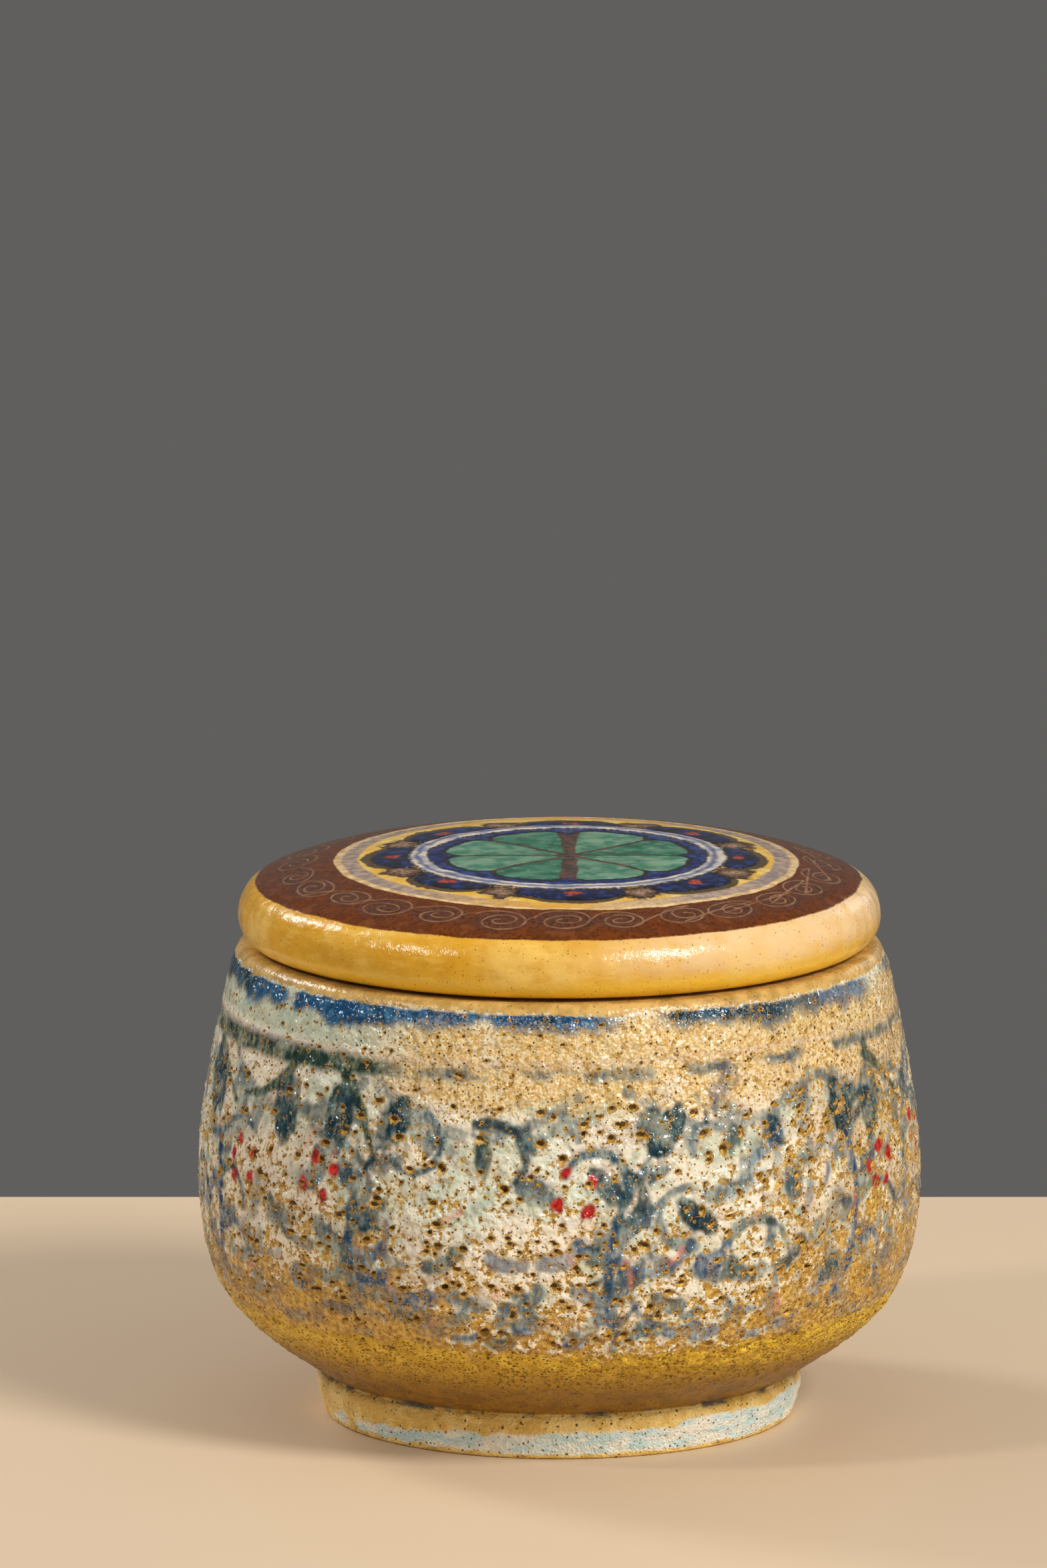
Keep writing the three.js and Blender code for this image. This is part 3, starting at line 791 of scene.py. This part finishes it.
def scratchScrolls():
    g, k = glazeLid, lidRings
    band = np.nonzero((lidRadial > k["brownInner"] - 1) & onTop)[0]
    x, y = lidSkin[band, 0], lidSkin[band, 1]
    best, discs = np.full(len(band), 9.0), np.full(len(band), 9.0)
    middle = (k["brownInner"] + k["brownOuter"]) / 2 - 0.3
    chance = np.random.default_rng(g["seed"])
    step = 2 * math.pi / g["scrolls"]
    ends = []
    for i in range(g["scrolls"]):
        turn = i * step + chance.uniform(-0.1, 0.1) * step
        radius, size = middle + chance.uniform(-0.6, 0.6), chance.uniform(0.84, 1.08)
        flip = 1 if math.sin(turn + 0.4) < 0.62 else -1    # the hand changed direction on one side
        t = np.linspace(0, 1, 60)
        whirl = math.radians(chance.uniform(190, 260)) + 2 * math.pi * g["scrollTurns"] * t
        reach = size * (1 - 0.84 * t ** chance.uniform(0.75, 1.1)) * (1 + 0.13 * np.sin(whirl * 1.7 + i))
        across, out = flip * g["scrollAcross"] * reach * np.cos(whirl), g["scrollIn"] * reach * np.sin(whirl)
        radii, turns = radius + out, turn + across / radius
        ends.append((turns[0], radii[0], turns[14], radii[14]))
        path = np.column_stack([radii * np.sin(turns), -radii * np.cos(turns)])
        near = np.hypot(x - radius * math.sin(turn), y + radius * math.cos(turn)) < 7.5
        best[near] = np.minimum(best[near], fromLine(x[near], y[near], path, np.zeros(len(path))))
        along = (lidTurn[band[near]] - turn + math.pi) % (2 * math.pi) - math.pi
        disc = np.hypot(along * radius / g["scrollAcross"], (lidRadial[band[near]] - radius) / g["scrollIn"])
        discs[near] = np.minimum(discs[near], disc / size)
    for i in range(g["scrolls"]):    # a light stroke carries the needle on to the next scroll
        here, there = ends[i], ends[(i + 1) % g["scrolls"]]
        span = (there[0] - here[2]) % (2 * math.pi)
        t = np.linspace(0, 1, 12)
        turns = here[2] + span * t
        radii = here[3] + (there[1] - here[3]) * t - 0.9 * np.sin(math.pi * t)
        path = np.column_stack([radii * np.sin(turns), -radii * np.cos(turns)])
        near = np.hypot(x - path[6, 0], y - path[6, 1]) < 9
        best[near] = np.minimum(best[near], fromLine(x[near], y[near], path, np.zeros(12)))
    width = g["scratchWidth"] * (1 + 0.35 * grain(lidSkin[band], 1.3, 36))
    line = 1 - ramp(best, width * 0.3, width * 1.1)
    lidMasks["scratch"][band] = line * (0.62 + 0.38 * grain(lidSkin[band], 1.2, 37))
    lid["high"][band] -= g["scratchDepth"] * line
    lidMasks["pale"][band] = 1 - ramp(discs, 0.7, 1.25)    # rubbed and greyer inside each scroll


paintRings()
scratchScrolls()


def raisePaint():    # the paint stands up, the lines are sunk, and the side keeps a hand wobble
    g, m = glazeLid, lidMasks
    z = lidSkin[:, 2]
    painted = np.clip(m["white"] + m["lobe"] + m["petal"] + m["blue"], 0, 1)
    high = g["paintHigh"] * painted - g["lineDeep"] * m["line"] - g["spokeDeep"] * m["spoke"]
    high += g["creamHigh"] * ramp(m["cream"], 0.2, 0.8) + g["whiteHigh"] * ramp(m["white"], 0.1, 0.9)
    high += g["brownHigh"] * ramp(m["brown"], 0.2, 0.8) + 0.03 * grain(lidSkin, 6.0, 38)
    side = ramp(seatHeight + 9.5 - z, 0, 2) * ramp(z - seatHeight, 0.3, 1.5)
    high += side * (0.035 * grain(lidSkin, 2.2, 40) + 0.1 * around(lidTurn, (0.5, 2.6, 4.4)) - 0.1)
    lid["high"] += onTop * high
    lowPart = np.r_[spot(lid, "under"), spot(lid, "sideStep")]
    m["bare"][lowPart] = ramp(lidRadial[lowPart], 40, 41) * (z[lowPart] < seatHeight + 1)
    # paler towards the right side and up the side
    m["paleRight"][:] = ramp(np.cos(lidTurn - math.radians(g["paleRightSide"])), 0.34, 0.82)
    m["paleRight"] *= ramp(z, seatHeight + 1.5, seatHeight + 7)


raisePaint()
print("lid painted")

jarLid = build("lid_glazed", lid, lidMasks)
print("lid built")


# Finishes

class Line:    # a value, colour or vector on its way through the nodes
    def __init__(self, finish, socket):
        self.finish, self.socket = finish, socket

    def joined(self, operation, first, second):
        return self.finish.node("ShaderNodeMath", dict(operation=operation), {0: first, 1: second})

    def __add__(self, other):
        return self.joined("ADD", self, other)

    def __mul__(self, other):
        return self.joined("MULTIPLY", self, other)

    def __sub__(self, other):
        return self.joined("SUBTRACT", self, other)

    def __rsub__(self, other):
        return self.joined("SUBTRACT", other, self)

    __radd__, __rmul__ = __add__, __mul__


def sRGB(*colour):    # a colour as the eye names it, 0 to 255, made linear
    return tuple(c / 255 / 12.92 if c <= 10 else ((c / 255 + 0.055) / 1.055) ** 2.4 for c in colour)


class Finish:    # one material, or the world, and the nodes it is mixed from
    def __init__(self, holder, colours):
        holder.use_nodes = True
        self.holder, self.tree, self.colours = holder, holder.node_tree, colours
        self.tree.nodes.clear()

    def node(self, kind, settings={}, sockets={}, out=0):
        made = self.tree.nodes.new(kind)
        for key, value in settings.items():
            setattr(made, key, value)
        for key, value in sockets.items():
            if isinstance(value, Line):
                self.tree.links.new(value.socket, made.inputs[key])
            else:
                made.inputs[key].default_value = value
        if isinstance(out, tuple):
            return [Line(self, made.outputs[name]) for name in out]
        return Line(self, made.outputs[out]) if len(made.outputs) else None

    def masks(self, count):    # in the order in which build stored them
        found = []
        for name in ["masks%d" % i for i in range((count + 2) // 3)]:
            trio = self.node("ShaderNodeAttribute", dict(attribute_name=name), out="Color")
            found += self.node("ShaderNodeSeparateColor", {}, {0: trio}, out=(0, 1, 2))
        return found[:count]

    def between(self, value, low, high, to=(0.0, 1.0)):
        return self.node("ShaderNodeMapRange", dict(interpolation_type="SMOOTHSTEP"), {
            "Value": value, "From Min": low, "From Max": high, "To Min": to[0], "To Max": to[1]})

    def mix(self, share, first, second):
        ends = [c if isinstance(c, Line) else (*sRGB(*c), 1) for c in (first, second)]
        return self.node("ShaderNodeMix", dict(data_type="RGBA"), {0: share, 6: ends[0], 7: ends[1]}, out=2)

    def tone(self, name, noise=None, low=0.38, high=0.62):    # one colour, or noise that wanders between two
        found = self.colours[name]
        return found if noise is None else self.mix(self.between(noise, low, high), *found)

    def coats(self, colour, *coats):    # each has its share, then a colour, or a name and its noise
        for share, over, *noise in coats:
            colour = self.mix(share, colour, self.tone(over, *noise) if isinstance(over, str) else over)
        return colour

    def height(self):
        return self.node("ShaderNodeSeparateXYZ", {}, {0: self.place}, out=2)

    def vector(self, operation, first, second):
        return self.node("ShaderNodeVectorMath", dict(operation=operation), {0: first, 1: second})

    def scaled(self, vector, factor):
        return self.node("ShaderNodeVectorMath", dict(operation="SCALE"), {0: vector, "Scale": factor})

    def noise(self, cell, detail=2.0, stretch=None, out=0):    # cell in mm
        where = self.vector("MULTIPLY", self.place, stretch) if stretch else self.place
        sockets = {"Vector": where, "Scale": 1 / cell, "Detail": detail}
        return self.node("ShaderNodeTexNoise", {}, sockets, out=out)

    def dots(self, where, cell, least, most):    # round spots of many sizes, as shares of their cell
        sockets = {"Vector": where, "Scale": 1 / cell}
        away, tint = self.node("ShaderNodeTexVoronoi", {}, sockets, out=("Distance", "Color"))
        size = self.node("ShaderNodeSeparateColor", {}, {0: tint})
        return away - (least + (most - least) * size)

    def fire(self, colour, roughness, high):    # high in mm
        bump = self.node("ShaderNodeBump", {}, {"Height": high, "Distance": mm, "Strength": 1.0})
        shader = self.node("ShaderNodeBsdfPrincipled", {}, {
            "Base Color": colour, "Roughness": roughness, "IOR": 1.52, "Normal": bump})
        self.node("ShaderNodeOutputMaterial", {}, {"Surface": shader})
        return self.holder


def newFinish(name, colours):
    f = Finish(bpy.data.materials.new(name), colours)
    f.place = f.scaled(f.node("ShaderNodeTexCoord", out="Object"), 1 / mm)    # in mm
    return f


bodyColours = dict(    # one colour, or the two that noise wanders between
    ground=((243, 230, 203), (224, 226, 203)), cream=(248, 237, 217),
    speckle=((240, 208, 156), (230, 196, 138)), golden=((232, 194, 116), (206, 158, 74)),
    ochre=((224, 176, 74), (168, 120, 34)), ochreLit=(244, 208, 124), clay=((216, 174, 98), (186, 146, 74)),
    celadon=((200, 206, 178), (162, 182, 162)), peach=((204, 166, 140), (166, 148, 144)),
    blueGrey=((112, 130, 128), (44, 74, 88)), green=((76, 98, 74), (26, 52, 44)),
    teal=((58, 92, 92), (16, 44, 54)), indigo=((72, 106, 134), (24, 54, 94)),
    coral=(226, 122, 92), red=((206, 44, 32), (146, 20, 16)),
    rimBlue=((8, 46, 60), (16, 72, 112)), rimBlueLit=(88, 140, 168), crease=(48, 66, 84),
    # the middle mustard colour is painted shade, darker towards the bottom under the belly
    mustard=((242, 198, 56), (214, 167, 28)), mustardBellyShade=(172, 126, 14), dent=(132, 90, 8),
    # the low mustard colour is the smooth low glaze, darkened partly as painted shade under the belly
    lowMustardAndShade=((160, 114, 14), (138, 94, 8)), footTop=((252, 218, 134), (230, 186, 90)),
    pool=((250, 244, 224), (204, 230, 226)), poolGrain=(150, 176, 174), halo=((232, 182, 96), (198, 144, 60)),
    # the dark crater colour is painted shade, laid where the upper lip shadows each hole
    hole=((234, 188, 88), (204, 154, 58)), depthAndShade=((42, 25, 6), (84, 54, 14)),
    prick=(70, 42, 14), prickEdge=(220, 160, 64),
)


def bodyFinish():
    f = newFinish("body_glaze", bodyColours)
    (blueGrey, teal, indigo, green, celadon, peach, red, coral, rimBlue,
     rust, pit, speckle, mustard, bare, turquoise, dent, shade) = f.masks(len(masks))
    z = f.height()
    broad, patchy, fine, grit = f.noise(14), f.noise(3.2, 3), f.noise(0.8, 3), f.noise(0.4)
    streak = f.noise(1.0, 3, (1.25, 1.25, 0.6))
    wet = 0.55 * patchy + 0.45 * streak
    rough = (fine - 0.5) + (grit - 0.5)
    bent = f.vector("ADD", f.place, f.scaled(f.noise(0.8, out="Color"), 0.5))

    # where each glaze, crust and hole begins
    crust = f.between(rust + rough * 1.25, 0.48, 0.6)
    fleck = f.between(grit + 0.45 * (fine - 0.5) + speckle * 0.33, 0.74, 0.84)
    low = f.between(mustard + rough * 0.8, 0.46, 0.54)
    tan = f.between(bare + rough * 0.7, 0.4, 0.6)
    pooled = (f.noise(2.0, 3, (0.4, 0.4, 1.6)) - 0.5) * 0.8
    pool = f.between(turquoise + pooled + 0.3 * rough, 0.3, 0.7)
    few, many = f.dots(bent, 1.5, 0.0, 0.18), f.dots(bent, 0.8, 0.0, 0.25)
    pricks = f.node("ShaderNodeMath", dict(operation="MAXIMUM"), {
        0: f.between(few, 0.03, -0.02), 1: f.between(many, 0.03, -0.02)})
    hole = f.between(pit + rough * 0.3, 0.53, 0.64)
    # painted shade inside the upper part of each crater
    depthAndShade = f.between(shade + rough * 0.25, 0.52, 0.64)
    halo = f.between(pit + rough * 0.8, 0.34, 0.52)
    granular = f.between(z, 11.0, 15.5)
    dimples = f.dots(f.vector("MULTIPLY", bent, (1, 1, 1.7)), 0.66, 0.12, 0.42)
    dents = f.between(dimples - 0.1 * dent, 0.04, -0.1) * granular

    # colour, coat over coat
    keep = (1 - 0.64 * crust) * (1 - 0.2 * fleck)
    brushed = f.between(patchy + 0.5 * streak, 0.5, 0.85, (0.6, 1.0)) * keep
    runny = f.between(rimBlue + (streak - 0.5) * 0.5 + (grit - 0.5) * 0.35, 0.12, 0.88) * (1 - 0.25 * fleck)
    ochre = f.coats(f.tone("ochre", fine), (f.between(grit, 0.54, 0.68, (0, 0.6)), "ochreLit"))
    rimTone = f.coats(
        f.tone("rimBlue", broad, 0.42, 0.56),
        (f.between(wet, 0.46, 0.62, (0, 0.45)), "rimBlueLit"))
    mustardTone = f.coats(
        f.tone("mustard", patchy),
        # painted shade: darker towards the bottom, under the belly
        (f.between(z, 14, 20, (0.8, 0)), "mustardBellyShade"),
        # the smooth low glaze, darker partly as painted shade under the belly
        (1 - granular, "lowMustardAndShade", patchy),
        (f.between(z, 7.9, 7.4), "footTop", patchy),
        (dents * 0.85, "dent"))
    poolTone = f.coats(
        f.tone("pool", f.noise(2.6, 3, (0.5, 0.5, 1.5))),
        (f.between(f.noise(0.5, 2, (1, 1, 1.9)), 0.6, 0.72, (0, 0.35)), "poolGrain"))
    colour = f.coats(
        f.tone("ground", broad, 0.42, 0.6),
        (f.between(patchy, 0.42, 0.7, (0, 0.6)), "cream"),
        (celadon * 0.9, "celadon", patchy),
        (speckle * 0.6, "speckle", patchy),
        (fleck * 0.9, "golden", fine),
        (crust, ochre),
        (peach * 0.62 * keep, "peach", patchy),
        (blueGrey * brushed, "blueGrey", wet),
        (green * brushed, "green", wet),
        (teal * brushed, "teal", wet),
        (indigo * brushed, "indigo", wet),
        (coral * 0.7 * keep, "coral"),
        (runny, rimTone),
        (red, "red", fine),
        (halo * 0.85, "halo", fine),
        (f.between(few, 0.15, 0.03) * 0.7, "prickEdge"),
        (low, mustardTone),
        (pool, poolTone),
        (indigo * low * 0.85, "crease"),
        (tan, "clay", patchy),
        (pricks * 0.9 * (1 - 0.6 * tan), "prick"),
        (hole, "hole", fine),
        # painted shade in the upper part of the craters
        (depthAndShade * 0.9, "depthAndShade", fine))

    roughness = 0.04 + 0.14 * crust + 0.04 * fleck + 0.14 * low + 0.22 * tan + 0.3 * hole
    swells = 0.95 * (f.noise(2.3, 1) - 0.5) + 0.42 * (f.noise(1.0, 1) - 0.5)
    high = swells * (1 - 0.7 * low) * (1 - 0.8 * tan) + 0.03 * (fine - 0.5) + 0.07 * (f.noise(0.55, 1) - 0.5)
    high = high + (grit - 0.5) * (0.02 + 0.3 * crust + 0.14 * fleck + 0.12 * low)
    high = high + 0.09 * halo - 0.07 * pricks - 0.2 * dents * low - 0.2 * hole - 0.1 * depthAndShade
    high = high + 0.5 * rimBlue * (f.noise(1.3, 1) - 0.5)
    return f.fire(colour, roughness, high)


lidColours = dict(
    honey=((222, 162, 44), (236, 188, 92)), honeyDark=(208, 146, 28), honeyLight=(246, 206, 106),
    # the golden colour is painted bounce light on the lower part of the side
    paleRight=(238, 199, 144), golden=(252, 196, 44), speck=(118, 70, 14), clay=((218, 172, 100), (190, 142, 74)),
    umber=((114, 54, 8), (92, 42, 6)), umberDark=(60, 27, 8), umberWarm=(142, 78, 34),
    rubbed=((94, 58, 44), (66, 40, 32)), scratch=(196, 148, 104),
    cream=((238, 206, 154), (208, 168, 112)), grey=((186, 160, 134), (146, 128, 122)),
    yellow=((236, 182, 60), (244, 204, 112)), blotchRim=((84, 50, 24), (46, 28, 18)),
    blotch=((184, 148, 116), (122, 88, 66)), lobe=((10, 16, 56), (28, 56, 116)), lobeDark=(12, 16, 28),
    dash=((206, 80, 44), (130, 40, 30)), line=((38, 26, 24), (16, 16, 34)),
    white=((226, 212, 190), (158, 162, 178)), whiteLine=(70, 80, 124), blue=((14, 24, 82), (44, 72, 130)),
    petal=((18, 92, 66), (52, 124, 96)), petalPale=((66, 132, 104), (126, 162, 132)),
    petalBloom=(150, 176, 144), spoke=((104, 60, 50), (44, 34, 28)),
)


def lidFinish():
    f = newFinish("lid_glaze", lidColours)
    (brown, scratch, cream, grey, yellow, lobe, white, blue, petal,
     line, dash, blotch, pale, bare, paleRight, spoke, tint) = f.masks(len(lidMasks))
    z = f.height()
    broad, patchy, fine, grit = f.noise(18), f.noise(3.6, 3), f.noise(0.7, 3), f.noise(0.3)
    streak = f.noise(1.6, 3)
    rough = (fine - 0.5) * 0.8 + (grit - 0.5) * 0.4
    specks = f.dots(f.place, 0.65, 0.0, 0.19)

    def soft(mask):    # an edge that the melted glaze has blurred and frayed
        return f.between(mask + rough, 0.2, 0.8)

    blotchTone = f.coats(f.tone("blotchRim", fine), (tint, "blotch", fine))
    lobeTone = f.coats(
        f.tone("lobe", streak, 0.42, 0.66),
        (f.between(patchy, 0.48, 0.6, (0, 0.85)), "lobeDark"))
    whiteTone = f.coats(f.tone("white", patchy, 0.42, 0.6), (tint * 0.8, "whiteLine"))
    petalTone = f.coats(
        f.tone("petal", patchy),
        (tint, "petalPale", patchy),
        (f.between(streak, 0.54, 0.7, (0, 0.4)), "petalBloom"))
    umber = f.coats(
        f.tone("umber", patchy),
        (f.between(fine, 0.48, 0.62, (0, 0.7)), "umberDark"),
        (f.between(patchy + 0.4 * fine, 0.74, 0.86, (0, 0.5)), "umberWarm"),
        (pale * 0.7, "rubbed", fine),
        (scratch * 0.66, "scratch"))
    colour = f.coats(
        f.tone("honey", broad, 0.42, 0.6),
        (f.between(patchy, 0.44, 0.66, (0, 0.5)), "honeyDark"),
        (f.between(f.noise(1.5, 3, (0.4, 0.4, 1.8)), 0.5, 0.7, (0, 0.3)), "honeyLight"),
        (paleRight * f.between(patchy, 0.3, 0.6, (0.6, 1.0)), "paleRight"),
        # painted bounce light: the lower part of the side is brighter and more golden
        (f.between(z + 2 * broad, seatHeight + 5.5, seatHeight + 2, (0, 0.95)), "golden"),
        (f.between(specks, 0.03, -0.01) * 0.8, "speck"),
        (soft(yellow), "yellow", patchy),
        (soft(grey), "grey", streak),
        (soft(cream), "cream", streak),
        (soft(blotch), blotchTone),
        (soft(lobe), lobeTone),
        (soft(white), whiteTone),
        (soft(blue), "blue", streak, 0.42, 0.66),
        (soft(petal), petalTone),
        (soft(line) * 0.9, "line", streak),
        (soft(spoke) * 0.94, "spoke", streak),
        (soft(dash) * 0.9, "dash", fine),
        (f.between(brown + 0.4 * rough, 0.3, 0.7), umber),
        (bare, "clay", fine))
    roughness = 0.1 + bare * 0.4 + f.between(fine, 0.35, 0.65, (0, 0.06))
    swells = 0.12 * (f.noise(2.2, 1) - 0.5) + 0.5 * (f.noise(6, 1) - 0.5)
    return f.fire(colour, roughness, swells + 0.06 * (fine - 0.5) + 0.05 * (grit - 0.5))


for piece, finish, rider, node, slot in (
        (jarBody, bodyFinish(), "body", "jar_body", "body_glaze"),
        (jarLid, lidFinish(), "lid", "lid", "lid_glaze")):
    piece.data.materials.append(finish)
    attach(piece, rider)
    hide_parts(node)
print("finishes fired")

# Table, lights and camera

studio = dict(
    tableHalf=0.165, tableCorner=0.06, tableDepth=0.2, tableEdge=0.003,
    tableTones=((222, 196, 164), (217, 192, 160)), backdrop=(96, 95, 93), fill=0.36,
    lamps=[((0.90, -0.87, 1.05), 0.44, 17.0, (1.0, 0.975, 0.95)),    # place, width, watts, colour
           ((-1.08, -0.56, 1.05), 0.2, 5.2, (1.0, 0.98, 0.96)),
           ((-1.02, 0.78, 0.98), 0.42, 8.0, (0.96, 0.98, 1.0)),
           ((0.66, 1.10, 0.44), 0.40, 0.7, (0.98, 0.99, 1.0)),
           ((0.72, -1.02, 1.05), 0.12, 1.2, (1.0, 0.99, 0.97)),
           ((1.30, -0.80, 0.30), 0.80, 3.4, (1.0, 0.98, 0.95))],
    unmirrored=5,    # the last lamp fills in from low down, and the glaze doesn't mirror it
)

cameraView = dict(place=(-0.0059, -2.5, 0.582), downwards=10.8, lens=354.64, sensor=36.0)


def setTable():    # a plain block with rounded corners; its far edge is the photograph's horizon
    s = studio
    half, corner = s["tableHalf"], s["tableCorner"]
    arc = np.radians(np.linspace(0, 90, 17))
    loop = [(half - corner + corner * math.cos(a), half - corner + corner * math.sin(a)) for a in arc]
    quarters = ((1, 0), (0, 1), (-1, 0), (0, -1))
    ground = np.array([(x * c - y * q, x * q + y * c) for c, q in quarters for x, y in loop])
    count, fall = len(ground), np.radians(np.linspace(0, 90, 7))
    edge = s["tableEdge"]
    layers = [(1, -s["tableDepth"])]
    layers += [(1 - edge * (1 - math.cos(a)) / half, edge * (math.sin(a) - 1)) for a in fall]
    spots = [(x * share, y * share, z) for share, z in layers for x, y in ground]
    faces = []
    for start in range(0, count * (len(layers) - 1), count):
        for j, k in [(j, (j + 1) % count) for j in range(count)]:
            faces.append((start + j, start + k, start + count + k, start + count + j))
    faces.append(tuple(range(len(spots) - count, len(spots))))
    mesh = bpy.data.meshes.new("table")
    mesh.from_pydata(spots, [], faces)
    table = bpy.data.objects.new("table", mesh)
    bpy.context.scene.collection.objects.link(table)
    f = newFinish("table_top", {})
    table.data.materials.append(f.fire(f.mix(f.noise(60, 3), *s["tableTones"]), 0.55, 0.02 * f.noise(3)))


def setLamps():
    for i, (place, size, watts, colour) in enumerate(studio["lamps"]):
        light = bpy.data.lights.new("softbox%d" % i, "AREA")
        light.shape, light.size, light.energy, light.color = "DISK", size, watts, colour
        lamp = bpy.data.objects.new("softbox%d" % i, light)
        bpy.context.scene.collection.objects.link(lamp)
        lamp.location = place
        lamp.visible_glossy = i != studio["unmirrored"]
        lamp.rotation_euler = (-lamp.location).to_track_quat("-Z", "Y").to_euler()
    bpy.context.scene.world = bpy.data.worlds.new("studio")
    f = Finish(bpy.context.scene.world, {})
    rays = f.node("ShaderNodeLightPath", out=("Is Camera Ray", "Is Glossy Ray", "Is Transmission Ray"))
    seen = rays[0] + rays[1] + rays[2]
    fill = f.node("ShaderNodeBackground", {}, {"Color": (1, 1, 1, 1), "Strength": studio["fill"]})
    back = f.node("ShaderNodeBackground", {}, {"Color": (*sRGB(*studio["backdrop"]), 1), "Strength": 1.0})
    either = f.node("ShaderNodeMixShader", {}, {0: seen, 1: fill, 2: back})
    f.node("ShaderNodeOutputWorld", {}, {"Surface": either})


def setCamera():
    data = bpy.data.cameras.new("camera")
    data.sensor_fit = "VERTICAL"
    data.sensor_height, data.lens = cameraView["sensor"], cameraView["lens"]
    camera = bpy.data.objects.new("camera", data)
    bpy.context.scene.collection.objects.link(camera)
    camera.location = cameraView["place"]
    camera.rotation_euler = (math.radians(90 - cameraView["downwards"]), 0, 0)
    bpy.context.scene.camera = camera


setTable()
setLamps()
setCamera()
bpy.context.scene.view_settings.view_transform = "Standard"
print("studio set")
